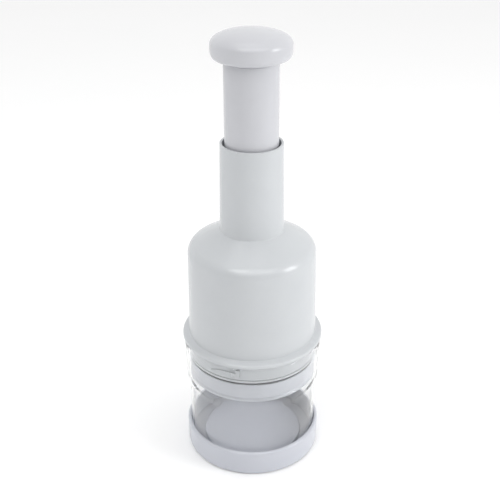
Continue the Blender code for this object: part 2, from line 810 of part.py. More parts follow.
def zigzag_blade(finish):
    """The tall zigzag strip of steel, ground to an edge along its foot."""
    edge = 1.6 * MM
    layers = []
    for z, half in (
        (BLADE_TIP, 0.12 * MM),
        (BLADE_TIP + edge, BLADE_HALF_THICKNESS),
        (HUB_UNDERSIDE + 3.2 * MM, BLADE_HALF_THICKNESS),
    ):
        layers.append([(x, y, z) for x, y in blade_plan(half)])
    return lofted("zigzag_blade", layers, finish, 20.0)


def blade_hub(finish):
    """The round plate that carries the blade in a zigzag slot."""
    corners = [
        (0.0, HUB_UNDERSIDE),
        (34.2 * MM, HUB_UNDERSIDE, 0.6 * MM),
        (34.2 * MM, HUB_TOP, 0.6 * MM),
        (0.0, HUB_TOP),
    ]
    hub = turned("blade_hub", rounded(corners, 1), finish)
    slot = blade_plan(BLADE_HALF_THICKNESS + GAP, GAP)
    cut(hub, prism("hub_slot", slot, HUB_UNDERSIDE - MM, HUB_UNDERSIDE + 3.5 * MM))
    cut(hub, cylinder("hub_screw_seat", 3.3 * MM, HUB_UNDERSIDE - MM, HUB_UNDERSIDE + 2.1 * MM, steps=24))
    cut(hub, cylinder("hub_screw_hole", 1.6 * MM, HUB_UNDERSIDE + MM, HUB_TOP + MM))
    return cut(hub, cylinder("hub_socket", 3.9 * MM, 109.8 * MM, HUB_TOP + MM, steps=24))


def bumper_washer(finish):
    """The soft washer on the hub that meets the spring cup at the top of the stroke."""
    low = HUB_TOP + GAP
    high = SPRING_CUP_UNDERSIDE - GAP
    corners = [(7.2 * MM, low), (12.0 * MM, low), (12.0 * MM, high), (7.2 * MM, high)]
    return turned("bumper_washer", corners, finish, SMALL_STEPS)


def wiper_disc(finish):
    """The disc that the blade slides through. It turns with the blade and wipes it clean."""
    low = 55.7 * MM
    high = 58.2 * MM
    corners = [
        (0.0, low),
        (WIPER_RADIUS, low, 0.4 * MM),
        (WIPER_RADIUS, high, 0.4 * MM),
        (0.0, high),
    ]
    disc = turned("wiper_disc", rounded(corners, 1), finish)
    slot = blade_plan(BLADE_HALF_THICKNESS + 0.5 * MM, 0.5 * MM)
    return cut(disc, prism("wiper_slot", slot, low - MM, high + MM))


def main():
    for old in list(bpy.data.objects):
        bpy.data.objects.remove(old)

    shell = material("shell_plastic", (0.60, 0.62, 0.65), 0.28)
    cap = material("cap_plastic", (0.56, 0.56, 0.61), 0.32)
    clear = material("clear_plastic", (0.95, 0.96, 0.97), 0.04, transmission=1.0)
    mat = material("mat_plastic", (0.48, 0.50, 0.56), 0.5)
    soft = material("soft_rubber", (0.45, 0.45, 0.48), 0.75)
    dark = material("dark_rubber", (0.05, 0.05, 0.055), 0.6)
    bearing = material("bearing_plastic", (0.82, 0.82, 0.80), 0.4)
    steel = material("blade_steel", (0.72, 0.72, 0.73), 0.2, metallic=1.0)
    spring = material("spring_steel", (0.62, 0.62, 0.64), 0.3, metallic=1.0)

    base_cap(cap)
    chopping_mat(mat)
    foot_ring(soft)
    clear_cup(clear)
    housing_shell(shell)
    guard_ring(cap)
    seal_ring(dark)
    spring_cup(bearing)
    spring_cup_screws(spring)
    index_nut(bearing)
    nut_spring(spring)
    spring_seat(spring)
    return_spring(spring)
    plunger_tube(shell)
    knob(shell)
    stem_bush(bearing)
    stem_washer(spring)
    screw("stem_screw", (0.0, 0.0), 244.0 * MM, (3.4 * MM, 2.2 * MM), (1.4 * MM, 14.0 * MM), spring, False)
    drive_stem(bearing)
    blade_hub(bearing)
    zigzag_blade(steel)
    hub_screw_foot = HUB_UNDERSIDE + 1.8 * MM
    screw("hub_screw", (0.0, 0.0), hub_screw_foot, (3.0 * MM, 1.6 * MM), (1.25 * MM, 11.0 * MM), spring)
    bumper_washer(soft)
    wiper_disc(bearing)


main()
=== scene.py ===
import math

import bmesh
import bpy
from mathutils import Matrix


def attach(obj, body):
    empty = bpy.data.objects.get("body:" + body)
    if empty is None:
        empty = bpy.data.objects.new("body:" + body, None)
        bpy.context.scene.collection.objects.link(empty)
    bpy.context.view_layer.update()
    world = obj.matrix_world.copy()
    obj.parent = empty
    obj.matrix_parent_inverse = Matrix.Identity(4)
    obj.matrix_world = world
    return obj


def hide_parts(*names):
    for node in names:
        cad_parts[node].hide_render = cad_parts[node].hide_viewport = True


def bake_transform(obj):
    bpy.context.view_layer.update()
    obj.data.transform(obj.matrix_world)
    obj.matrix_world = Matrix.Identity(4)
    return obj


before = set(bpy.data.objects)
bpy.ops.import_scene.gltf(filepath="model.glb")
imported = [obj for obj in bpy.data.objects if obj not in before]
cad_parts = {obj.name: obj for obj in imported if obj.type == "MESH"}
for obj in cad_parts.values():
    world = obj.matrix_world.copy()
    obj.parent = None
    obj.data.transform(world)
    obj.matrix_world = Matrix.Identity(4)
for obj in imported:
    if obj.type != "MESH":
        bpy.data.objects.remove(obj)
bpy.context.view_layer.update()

# Looks for the hand-press food chopper: smooth mouldings in place of the faceted CAD ones, a main spring
# built at rest, procedural materials, a pale floor, soft light and the camera. Lengths are in metres, written
# as millimetres times MM. Angles are in degrees.

MM = 0.001

# The chopper's dimensions, which are the CAD's.
TOTAL_HEIGHT = 265.0 * MM
NECK_TOP = 202.5 * MM
SHOULDER_TOP = 150.0 * MM
SHOULDER_EDGE = 139.5 * MM
LIP_TOP = 81.3 * MM
LIP_UNDERSIDE = 78.9 * MM
SKIRT_FOOT = 67.0 * MM
BASE_HEIGHT = 16.5 * MM
BASE_UNDERSIDE = 0.6 * MM
BASE_RADIUS = 42.0 * MM
CUP_RADIUS = 39.6 * MM
CUP_WALL = 1.7 * MM
CUP_STEP = 52.0 * MM
GUARD_FOOT = 53.7 * MM
GUARD_SHELF = 65.7 * MM
LIP_RADIUS = 42.8 * MM
SKIRT_RADIUS = 39.3 * MM
BODY_FOOT_RADIUS = 38.9 * MM
BODY_TOP_RADIUS = 38.0 * MM
NECK_FOOT_RADIUS = 18.8 * MM
NECK_TOP_RADIUS = 18.0 * MM
KNOB_RADIUS = 22.3 * MM
TUBE_RADIUS = 15.25 * MM
BORE_RADIUS = 16.6 * MM
SHELL_WALL = 2.0 * MM
GAP = 0.3 * MM
FLOOR_TOP = 3.0 * MM
MAT_TOP = 5.4 * MM
MAT_RADIUS = 30.9 * MM
GUARD_BORE = 36.2 * MM
SPRING_CUP_TOP = 147.4 * MM
TUBE_FOOT = 165.0 * MM
TUBE_SHOULDER = 248.1 * MM
WEB_UNDERSIDE = 238.0 * MM
WEB_TOP = 241.0 * MM
SPRING_FOOT = 124.6 * MM

# The bayonet: ramped ribs and stops on the skirt, and lugs inside the cup's collar. Each pair of heights is a
# foot and a head.
LOCK_COUNT = 3
LOCK_STOP_ANGLE = -104.5
LOCK_RIB_RADIUS = 40.1 * MM
LOCK_LUG_SPAN = (-4.4, -1.2)
LOCK_LUG_RADII = (39.65 * MM, 41.4 * MM)
LOCK_LUG_HEIGHTS = (74.4 * MM, 75.6 * MM)
LOCK_RAMP_SPAN = (-24.0, -19.0, -14.0)
LOCK_RAMP_HEIGHTS = ((70.8 * MM, 72.0 * MM), (71.7 * MM, 72.9 * MM))
LOCK_LEVEL_HEIGHTS = (72.8 * MM, 74.0 * MM)
LOCK_STOP_WIDTH = 3.6
LOCK_STOP_HEIGHTS = (71.3 * MM, 76.0 * MM)

# The main spring's wire and coil, each a radius, and its turns.
SPRING_WIRE = 0.8 * MM
SPRING_RADIUS = 10.2 * MM
SPRING_TURNS = 11.0

ROUND_STEPS = 160


# ------------------------------------------------------------ shape helpers


def object_from(name, shape, finish, smooth_angle=38.0):
    """Makes a named object from a bmesh, with its faces pointing out."""
    bmesh.ops.recalc_face_normals(shape, faces=shape.faces)
    if shape.calc_volume(signed=True) < 0:
        bmesh.ops.reverse_faces(shape, faces=shape.faces)
    mesh = bpy.data.meshes.new(name)
    shape.to_mesh(mesh)
    shape.free()
    mesh.shade_smooth()
    mesh.set_sharp_from_angle(angle=math.radians(smooth_angle))
    if finish is not None:
        mesh.materials.append(finish)
    made = bpy.data.objects.new(name, mesh)
    bpy.context.scene.collection.objects.link(made)
    return made


def arc(centre, radii, start, end, steps, power=2.0):
    """Points from angle start to end, in degrees, on an ellipse, or on a squarer curve of higher power."""
    points = []
    for i in range(steps + 1):
        angle = math.radians(start + (end - start) * i / steps)
        share = []
        for part in (math.cos(angle), math.sin(angle)):
            share.append(math.copysign(abs(part) ** (2 / power), part))
        points.append((centre[0] + radii[0] * share[0], centre[1] + radii[1] * share[1]))
    return points


def rounded(corners, steps=6):
    """An outline through corners, each (radius, height) or (radius, height, fillet)."""
    outline = []
    for i, corner in enumerate(corners):
        if len(corner) == 2:
            outline.append(corner)
            continue
        x, z, fillet = corner
        before = corners[i - 1]
        after = corners[(i + 1) % len(corners)]
        into = (before[0] - x, before[1] - z)
        out = (after[0] - x, after[1] - z)
        into_length = math.hypot(*into)
        out_length = math.hypot(*out)
        into = (into[0] / into_length, into[1] / into_length)
        out = (out[0] / out_length, out[1] / out_length)
        half = math.acos(max(-1.0, min(1.0, into[0] * out[0] + into[1] * out[1]))) / 2
        reach = fillet / math.tan(half)
        start = (x + into[0] * reach, z + into[1] * reach)
        end = (x + out[0] * reach, z + out[1] * reach)
        middle = (into[0] + out[0], into[1] + out[1])
        middle_length = math.hypot(*middle)
        depth = fillet / math.sin(half)
        centre = (x + middle[0] / middle_length * depth, z + middle[1] / middle_length * depth)
        first = math.atan2(start[1] - centre[1], start[0] - centre[0])
        last = math.atan2(end[1] - centre[1], end[0] - centre[0])
        sweep = (last - first + math.pi) % (2 * math.pi) - math.pi
        for k in range(steps + 1):
            angle = first + sweep * k / steps
            outline.append((centre[0] + fillet * math.cos(angle), centre[1] + fillet * math.sin(angle)))
    return outline


def turned(name, outline, finish, steps=ROUND_STEPS):
    """A solid turned about Z from a closed outline of (radius, height) points."""
    shape = bmesh.new()
    rings = []
    for radius, height in outline:
        ring = []
        for k in range(steps if radius > 1e-6 else 0):
            angle = 2 * math.pi * k / steps
            ring.append(shape.verts.new((radius * math.cos(angle), radius * math.sin(angle), height)))
        rings.append(ring)
    for i, first in enumerate(rings):
        after = (i + 1) % len(rings)
        second = rings[after]
        if first and second:
            for k in range(steps):
                beyond = (k + 1) % steps
                shape.faces.new((first[k], first[beyond], second[beyond], second[k]))
        elif first or second:
            close_end(shape, first or second, outline[after if first else i][1])
    return object_from(name, shape, finish)


def close_end(shape, ring, height):
    """Closes a ring with one flat face, or with a cone up to the axis at another height."""
    if abs(ring[0].co.z - height) < 1e-7:
        shape.faces.new(ring)
        return
    apex = shape.verts.new((0.0, 0.0, height))
    for k, corner in enumerate(ring):
        shape.faces.new((corner, ring[(k + 1) % len(ring)], apex))


def lofted(name, layers, finish, smooth_angle=38.0):
    """A solid through layers, each a list of (x, y, z) points, with a flat cap at both ends."""
    shape = bmesh.new()
    rings = [[shape.verts.new(point) for point in layer] for layer in layers]
    for lower, upper in zip(rings, rings[1:]):
        for k in range(len(lower)):
            after = (k + 1) % len(lower)
            shape.faces.new((lower[k], lower[after], upper[after], upper[k]))
    shape.faces.new(rings[0][::-1])
    shape.faces.new(rings[-1])
    shape.normal_update()
    bmesh.ops.triangulate(shape, faces=[face for face in shape.faces if len(face.verts) > 4])
    return object_from(name, shape, finish, smooth_angle)


def sector(name, radii, stations, finish=None):
    """A block between two radii. Each station is (angle in degrees, lower height, upper height)."""
    layers = []
    for degrees, foot, head in stations:
        angle = math.radians(degrees)
        inner = (radii[0] * math.cos(angle), radii[0] * math.sin(angle))
        outer = (radii[1] * math.cos(angle), radii[1] * math.sin(angle))
        layers.append([(*inner, foot), (*outer, foot), (*outer, head), (*inner, head)])
    return lofted(name, layers, finish)


def level(start, end, foot, head, steps=6):
    """Stations for a sector of one height between two angles."""
    return [(start + (end - start) * i / steps, foot, head) for i in range(steps + 1)]


def soften(piece, width, segments=3):
    """Rounds a piece's edges."""
    bevel = piece.modifiers.new("soft_edges", "BEVEL")
    bevel.width = width
    bevel.segments = segments
    bevel.limit_method = "ANGLE"
    bevel.angle_limit = math.radians(40.0)
    bevel.harden_normals = True
    return piece


def merge(target, others):
    """Joins closed pieces into target, so that they are one moulding, and removes them."""
    for other in others:
        modifier = target.modifiers.new(other.name, "BOOLEAN")
        modifier.operation = "UNION"
        modifier.solver = "EXACT"
        modifier.object = other
    graph = bpy.context.evaluated_depsgraph_get()
    mesh = bpy.data.meshes.new_from_object(target.evaluated_get(graph))
    target.modifiers.clear()
    target.data = mesh
    for other in others:
        bpy.data.objects.remove(other)
    return target


# ---------------------------------------------------------------- materials


class Finish:
    """A Principled material, with short names for the nodes that give its surface its detail."""

    def __init__(self, name):
        self.material = bpy.data.materials.new(name)
        self.material.use_nodes = True
        self.nodes = self.material.node_tree.nodes
        self.links = self.material.node_tree.links
        self.shader = self.nodes["Principled BSDF"]
        coordinates = self.nodes.new("ShaderNodeTexCoord")
        self.place = coordinates.outputs["Object"]

    def set(self, **values):
        for key, value in values.items():
            self.shader.inputs[key.replace("_", " ")].default_value = value
        return self

    def stretched(self, scale):
        """The place, scaled by a different amount along each axis."""
        mapping = self.nodes.new("ShaderNodeMapping")
        mapping.inputs["Scale"].default_value = scale
        self.links.new(self.place, mapping.inputs["Vector"])
        return mapping.outputs["Vector"]

    def turned_place(self, scale):
        """Angle and height as coordinates, so that a pattern follows a round wall."""
        parts = self.nodes.new("ShaderNodeSeparateXYZ")
        self.links.new(self.place, parts.inputs[0])
        angle = self.math("ARCTAN2", parts.outputs["Y"], parts.outputs["X"])
        joined = self.nodes.new("ShaderNodeCombineXYZ")
        self.links.new(self.math("MULTIPLY", angle, scale[0]), joined.inputs["X"])
        self.links.new(self.math("MULTIPLY", parts.outputs["Z"], scale[1]), joined.inputs["Y"])
        return joined.outputs[0]

    def noise(self, scale, detail=3.0, roughness=0.55, place=None, distortion=0.0):
        texture = self.nodes.new("ShaderNodeTexNoise")
        texture.inputs["Scale"].default_value = scale
        texture.inputs["Detail"].default_value = detail
        texture.inputs["Roughness"].default_value = roughness
        texture.inputs["Distortion"].default_value = distortion
        self.links.new(place or self.place, texture.inputs["Vector"])
        return texture.outputs["Fac"]

    def math(self, operation, first, second=0.0, clamp=False):
        node = self.nodes.new("ShaderNodeMath")
        node.operation = operation
        node.use_clamp = clamp
        for socket, value in zip(node.inputs, (first, second)):
            if isinstance(value, (int, float)):
                socket.default_value = value
            else:
                self.links.new(value, socket)
        return node.outputs[0]

    def span(self, value, low, high, to_low, to_high):
        """The value carried from one range to another, and held at its ends."""
        node = self.nodes.new("ShaderNodeMapRange")
        node.inputs["From Min"].default_value = low
        node.inputs["From Max"].default_value = high
        node.inputs["To Min"].default_value = to_low
        node.inputs["To Max"].default_value = to_high
        self.links.new(value, node.inputs["Value"])
        return node.outputs[0]

    def blend(self, share, first, second):
        """A colour between two colours."""
        node = self.nodes.new("ShaderNodeMix")
        node.data_type = "RGBA"
        self.links.new(share, node.inputs[0])
        for socket, value in ((node.inputs[6], first), (node.inputs[7], second)):
            if isinstance(value, tuple):
                socket.default_value = (*value, 1.0)
            else:
                self.links.new(value, socket)
        return node.outputs[2]

    def hairlines(self, scale, sparse, place=None):
        """Fine broken scratches: 1 on a scratch and 0 beside it."""
        line = self.noise(scale, 2.0, 0.5, place, 0.6)
        near = self.math("ABSOLUTE", self.math("SUBTRACT", line, 0.5))
        thin = self.span(near, 0.0, 0.004, 1.0, 0.0)
        where = self.span(self.noise(0.12 * scale, 2.0, 0.5, place), sparse, sparse + 0.06, 0.0, 1.0)
        return self.math("MULTIPLY", thin, where)

    def inside(self, radius, low, high):
        """1 within a radius of the upright axis and between two heights, and 0 elsewhere."""
        parts = self.nodes.new("ShaderNodeSeparateXYZ")
        self.links.new(self.place, parts.inputs[0])
        squares = [self.math("POWER", parts.outputs[axis], 2.0) for axis in ("X", "Y")]
        near = self.math("LESS_THAN", self.math("ADD", *squares), radius ** 2)
        above = self.math("GREATER_THAN", parts.outputs["Z"], low)
        below = self.math("LESS_THAN", parts.outputs["Z"], high)
        return self.math("MULTIPLY", near, self.math("MULTIPLY", above, below))

    def edges(self, low, high):
        """1 on sharp outward edges, where handling polishes the surface."""
        geometry = self.nodes.new("ShaderNodeNewGeometry")
        return self.span(geometry.outputs["Pointiness"], low, high, 0.0, 1.0)

    def colour(self, socket):
        self.links.new(socket, self.shader.inputs["Base Color"])

    def rough(self, socket):
        self.links.new(socket, self.shader.inputs["Roughness"])

    def bumps(self, *layers):
        """Bump layers, each (height, distance in metres, strength)."""
        normal = None
        for height, distance, strength in layers:
            bump = self.nodes.new("ShaderNodeBump")
            bump.inputs["Distance"].default_value = distance
            bump.inputs["Strength"].default_value = strength
            self.links.new(height, bump.inputs["Height"])
            if normal is not None:
                self.links.new(normal, bump.inputs["Normal"])
            normal = bump.outputs[0]
        self.links.new(normal, self.shader.inputs["Normal"])
        return self.material


def moulded(name, light, dark, painted_floor_light=None, gloss=0.22):
    """Moulded kitchen plastic: faint clouding, moulding waves, fine grain and hairline scratches.

    gloss is its roughness, and sunk is a lighter colour painted on the base cap's floor inside the cup, as
    painted light that lifts the shade there.
    """
    f = Finish(name).set(IOR=1.49, Specular_IOR_Level=0.5)
    clouds = f.noise(38.0, 4.0, 0.6)
    specks = f.noise(900.0, 2.0, 0.7)
    share = f.math("ADD", f.span(clouds, 0.35, 0.68, 0.0, 0.75), f.span(specks, 0.45, 0.7, 0.0, 0.25))
    worn = f.edges(0.52, 0.60)
    tinted = f.blend(share, dark, light)
    # Painted light: the base cap's floor inside the cup gets a lighter colour that lifts the shade there.
    if painted_floor_light is not None:
        painted_light_share = f.inside(CUP_RADIUS - 0.6 * MM, FLOOR_TOP - 0.5 * MM, FLOOR_TOP + 0.5 * MM)
        tinted = f.blend(painted_light_share, tinted, painted_floor_light)
    polished = tuple(1.12 * channel for channel in light)
    f.colour(f.blend(f.math("MULTIPLY", worn, 0.35), tinted, polished))
    scratches = f.hairlines(9.0, 0.62, f.turned_place((5.0, 190.0)))
    fine = f.noise(2600.0, 2.0, 0.5)
    smears = f.noise(120.0, 3.0, 0.55)
    smeared = f.span(smears, 0.3, 0.7, gloss - 0.02, gloss + 0.03)
    rough = f.math("ADD", smeared, f.math("MULTIPLY", scratches, 0.02))
    f.rough(f.math("SUBTRACT", rough, f.math("MULTIPLY", worn, 0.06), True))
    waves = f.noise(26.0, 1.0, 0.4)
    return f.bumps((waves, 0.00025, 0.3), (fine, 0.000010, 1.0))


def clear_plastic(name):
    """Clear polished plastic with faint rings of wear round the wall and a few fine scratches."""
    f = Finish(name).set(IOR=1.03, Transmission_Weight=1.0)
    f.set(Coat_Weight=1.0, Coat_Roughness=0.03, Coat_IOR=1.45)
    haze = f.noise(60.0, 4.0, 0.6)
    scratches = f.hairlines(11.0, 0.56, f.turned_place((6.0, 150.0)))
    upright = f.hairlines(13.0, 0.60, f.turned_place((40.0, 24.0)))
    marks = f.math("MAXIMUM", scratches, upright)
    f.colour(f.blend(haze, (0.985, 0.992, 0.996), (0.996, 0.998, 1.0)))
    f.rough(f.math("ADD", f.span(haze, 0.35, 0.75, 0.012, 0.045), f.math("MULTIPLY", marks, 0.12)))
    waves = f.noise(30.0, 1.0, 0.4)
    return f.bumps((waves, 0.00025, 0.4))


def matt_plastic(name, light, dark):
    """The mat's fine matt plastic, with the faint chopping marks that a blade leaves."""
    f = Finish(name).set(IOR=1.48)
    clouds = f.noise(45.0, 5.0, 0.65)
    f.colour(f.blend(f.span(clouds, 0.3, 0.7, 0.0, 1.0), dark, light))
    cuts = f.hairlines(85.0, 0.50, f.stretched((1.0, 0.25, 1.0)))
    across = f.hairlines(80.0, 0.52, f.stretched((0.3, 1.0, 1.0)))
    marks = f.math("MAXIMUM", cuts, across)
    grain = f.noise(2200.0, 3.0, 0.6)
    f.rough(f.math("ADD", f.span(clouds, 0.3, 0.7, 0.42, 0.56), f.math("MULTIPLY", marks, 0.15)))
    return f.bumps((grain, 0.00003, 0.8))


def soft_rubber(name, light, dark):
    """Matt rubber with dust in its grain."""
    f = Finish(name).set(IOR=1.5)
    dust = f.noise(70.0, 6.0, 0.7)
    f.colour(f.blend(f.span(dust, 0.35, 0.7, 0.0, 1.0), dark, light))
    f.rough(f.span(dust, 0.3, 0.7, 0.68, 0.86))
    return f.bumps((f.noise(1500.0, 4.0, 0.7), 0.00006, 0.9))


def bearing_plastic(name):
    """Slippery off-white plastic with faint machining rings."""
    f = Finish(name).set(IOR=1.48)
    clouds = f.noise(60.0, 4.0, 0.6)
    rings = f.noise(24.0, 2.0, 0.5, f.turned_place((0.3, 160.0)))
    f.colour(f.blend(clouds, (0.70, 0.70, 0.67), (0.80, 0.80, 0.78)))
    f.rough(f.span(f.math("ADD", clouds, f.math("MULTIPLY", rings, 0.5)), 0.5, 1.0, 0.30, 0.44))
    return f.bumps((rings, 0.00003, 0.5), (f.noise(2400.0, 2.0, 0.5), 0.00001, 1.0))


def ground_steel(name, light, dark, along, gloss):
    """Stainless steel with fine grinding lines; along is the stretch of the lines on each axis."""
    f = Finish(name).set(Metallic=1.0, IOR=2.5)
    lines = f.noise(900.0, 4.0, 0.75, f.stretched(along))
    stains = f.noise(70.0, 4.0, 0.6)
    f.colour(f.blend(f.span(f.math("ADD", lines, stains), 0.7, 1.3, 0.0, 1.0), dark, light))
    f.rough(f.math("ADD", f.span(lines, 0.3, 0.7, gloss, gloss + 0.14), f.span(stains, 0.5, 0.8, 0.0, 0.08)))
    return f.bumps((lines, 0.00001, 0.8))


shell = moulded("shell_gloss", (0.535, 0.553, 0.570), (0.515, 0.533, 0.550))
plunger_shell = moulded("plunger_gloss", (0.538, 0.543, 0.570), (0.518, 0.523, 0.550))
cap = moulded("cap_gloss", (0.550, 0.565, 0.605), (0.530, 0.545, 0.585))
# The last colour is painted light: a lighter floor inside the cup that lifts the shade there.
base_shell = moulded("base_gloss", (0.545, 0.561, 0.612), (0.525, 0.541, 0.592), (0.62, 0.63, 0.68))
clear = clear_plastic("cup_clear")
mat = matt_plastic("mat_matt", (0.545, 0.56, 0.62), (0.52, 0.535, 0.595))
rubber = soft_rubber("foot_rubber", (0.42, 0.42, 0.45), (0.33, 0.33, 0.36))
# Near-black rubber for the ring painted into the gap under the skirt, as painted shade.
dark_rubber = soft_rubber("painted_shade_rubber", (0.055, 0.055, 0.06), (0.035, 0.035, 0.04))
bearing = bearing_plastic("bearing_white")
blade_steel = ground_steel("blade_ground", (0.74, 0.74, 0.75), (0.60, 0.60, 0.62), (1.0, 1.0, 0.04), 0.16)
wire_steel = ground_steel("wire_drawn", (0.66, 0.66, 0.67), (0.50, 0.50, 0.52), (0.2, 0.2, 1.0), 0.22)


# ------------------------------------------------------------- the outside


def place_piece(piece, body, slot, *nodes):
    """The piece rides on a body and stands for CAD nodes. slot, a record slot, is not used."""
    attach(piece, body)
    if nodes:
        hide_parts(*nodes)
    return piece


def base_moulding():
    groove = (32.5 * MM, 37.5 * MM)
    groove_top = 1.9 * MM
    recess_top = 1.0 * MM
    corners = [
        (0.0, recess_top),
        (groove[0], recess_top, 0.2 * MM),
        (groove[0], groove_top, 0.2 * MM),
        (groove[1], groove_top, 0.2 * MM),
        (groove[1], BASE_UNDERSIDE, 0.3 * MM),
        (41.8 * MM, BASE_UNDERSIDE, 0.9 * MM),
        (BASE_RADIUS, BASE_HEIGHT, 1.6 * MM),
        (CUP_RADIUS + GAP, BASE_HEIGHT, 0.3 * MM),
        (CUP_RADIUS + GAP, FLOOR_TOP, 0.8 * MM),
        (0.0, FLOOR_TOP),
    ]
    return turned("base_moulding", rounded(corners), base_shell)


def mat_disc():
    low = FLOOR_TOP + GAP
    corners = [(0.0, low), (MAT_RADIUS, low, 0.4 * MM), (MAT_RADIUS, MAT_TOP, 0.7 * MM), (0.0, MAT_TOP)]
    return turned("mat_disc", rounded(corners), mat)


def foot_band():
    inner = 32.8 * MM
    outer = 37.2 * MM
    top = 1.6 * MM
    corners = [(inner, 0.0, 0.4 * MM), (outer, 0.0, 0.4 * MM), (outer, top, 0.2 * MM), (inner, top, 0.2 * MM)]
    return turned("foot_band", rounded(corners, 4), rubber)


def lock_stop(i):
    """The angle at which one of the bayonet's ribs ends at its stop."""
    return LOCK_STOP_ANGLE + 360.0 / LOCK_COUNT * i


def cup_moulding():
    low = FLOOR_TOP + GAP
    high = LIP_UNDERSIDE - 0.5 * MM
    bore = CUP_RADIUS - CUP_WALL
    collar_top = 42.3 * MM
    collar_foot = 41.2 * MM
    corners = [
        (bore, low, 0.5 * MM),
        (CUP_RADIUS, low, 0.5 * MM),
        (CUP_RADIUS, 46.0 * MM, 6.0 * MM),
        (collar_foot, 51.5 * MM, 6.0 * MM),
        (collar_top, high, 0.5 * MM),
        (LOCK_RIB_RADIUS + 0.8 * MM, high, 0.5 * MM),
        (collar_foot - CUP_WALL, CUP_STEP, 6.0 * MM),
        (bore, 46.6 * MM, 6.0 * MM),
    ]
    cup = turned("cup_moulding", rounded(corners, 8), clear)
    lugs = []
    for i in range(LOCK_COUNT):
        stop = lock_stop(i)
        stations = level(stop + LOCK_LUG_SPAN[0], stop + LOCK_LUG_SPAN[1], *LOCK_LUG_HEIGHTS)
        lugs.append(sector(f"lug_{i}", LOCK_LUG_RADII, stations))
    return merge(cup, lugs)


def shoulder_height(radius, depth):
    """The height, at a radius, of the cone that lies at a depth below the shoulder's outer face."""
    slope = (SHOULDER_TOP - SHOULDER_EDGE) / (BODY_TOP_RADIUS - NECK_FOOT_RADIUS)
    return SHOULDER_TOP - (radius - NECK_FOOT_RADIUS) * slope - depth * math.hypot(1.0, slope)


def housing_moulding():
    skirt_bore = SKIRT_RADIUS - 1.8 * MM
    body_bore = BODY_FOOT_RADIUS - SHELL_WALL
    top_bore = BODY_TOP_RADIUS - SHELL_WALL
    groove = SKIRT_RADIUS - 0.6 * MM
    corners = [
        (skirt_bore, SKIRT_FOOT, 0.2 * MM),
        (SKIRT_RADIUS, SKIRT_FOOT, 0.4 * MM),
        (SKIRT_RADIUS, 68.6 * MM, 0.03 * MM),
        (groove, 68.7 * MM, 0.03 * MM),
        (groove, 69.2 * MM, 0.03 * MM),
        (SKIRT_RADIUS, 69.3 * MM, 0.03 * MM),
        (SKIRT_RADIUS, LIP_UNDERSIDE, 0.3 * MM),
        (LIP_RADIUS, LIP_UNDERSIDE, 0.8 * MM),
        (LIP_RADIUS, LIP_TOP, 1.2 * MM),
        (BODY_FOOT_RADIUS, LIP_TOP + 1.4 * MM, 0.3 * MM),
        (BODY_TOP_RADIUS, SHOULDER_EDGE, 8.0 * MM),
        (NECK_FOOT_RADIUS, SHOULDER_TOP, 0.8 * MM),
        (NECK_TOP_RADIUS, NECK_TOP, 0.4 * MM),
        (BORE_RADIUS, NECK_TOP, 0.3 * MM),
        (BORE_RADIUS, SPRING_CUP_TOP + GAP),
        (NECK_FOOT_RADIUS, shoulder_height(NECK_FOOT_RADIUS, SHELL_WALL)),
        (top_bore, shoulder_height(top_bore, SHELL_WALL), 6.0 * MM),
        (body_bore, LIP_TOP + 2.5 * MM),
        (skirt_bore, LIP_UNDERSIDE),
    ]
    return turned("housing_moulding", rounded(corners, 10), shell)


def bayonet():
    """The three ramped ribs round the skirt and the upright stops that end them."""
    root = SKIRT_RADIUS - 0.6 * MM
    for i in range(LOCK_COUNT):
        stop = lock_stop(i)
        ramp = [(stop + turn, *heights) for turn, heights in zip(LOCK_RAMP_SPAN, LOCK_RAMP_HEIGHTS)]
        stations = ramp + level(stop + LOCK_RAMP_SPAN[2], stop + 0.3, *LOCK_LEVEL_HEIGHTS)
        rib = sector(f"bayonet_rib_{i + 1}", (root, LOCK_RIB_RADIUS), stations, shell)
        tab = level(stop, stop + LOCK_STOP_WIDTH, *LOCK_STOP_HEIGHTS)
        end = sector(f"bayonet_stop_{i + 1}", (root, LOCK_RIB_RADIUS + 0.1 * MM), tab, shell)
        for piece in (rib, end):
            place_piece(soften(piece, 0.2 * MM), "housing", "shell_plastic")


def painted_shade_ring():
    """A dark flat ring between the skirt's foot and the guard ring's shelf: painted shade, standing for the
    shadow in the gap there.
    """
    inner = SKIRT_RADIUS - 1.8 * MM
    outer = SKIRT_RADIUS - 0.4 * MM
    low = GUARD_SHELF + GAP
    high = SKIRT_FOOT - GAP
    fillet = 0.1 * MM
    corners = [(inner, low, fillet), (outer, low, fillet), (outer, high, fillet), (inner, high, fillet)]
    return turned("painted_shade_ring", rounded(corners, 3), dark_rubber)


def guard_moulding():
    plug = SKIRT_RADIUS - 1.8 * MM - GAP
    plug_top = 76.0 * MM
    ledge = 55.4 * MM
    mouth = 34.6 * MM
    groove = 38.6 * MM
    wall = 39.1 * MM
    corners = [
        (mouth, GUARD_FOOT, 0.3 * MM),
        (SKIRT_RADIUS, GUARD_FOOT, 0.5 * MM),
        (SKIRT_RADIUS, 55.0 * MM, 0.3 * MM),
        (groove, 56.0 * MM, 0.2 * MM),
        (groove, 56.8 * MM, 0.2 * MM),
        (wall, 57.2 * MM, 0.2 * MM),
        (wall, GUARD_SHELF, 0.2 * MM),
        (plug, GUARD_SHELF, 0.2 * MM),
        (plug, plug_top, 0.3 * MM),
        (GUARD_BORE, plug_top, 0.3 * MM),
        (GUARD_BORE, ledge, 0.2 * MM),
        (mouth, ledge, 0.3 * MM),
    ]
    ring = turned("guard_moulding", rounded(corners), cap)
    clips = []
    for i in range(3):
        middle = 120.0 * i
        radii = (35.3 * MM, GUARD_BORE + 0.4 * MM)
        clips.append(sector(f"clip_{i}", radii, level(middle - 4.0, middle + 4.0, 58.6 * MM, 59.6 * MM)))
    return merge(ring, clips)


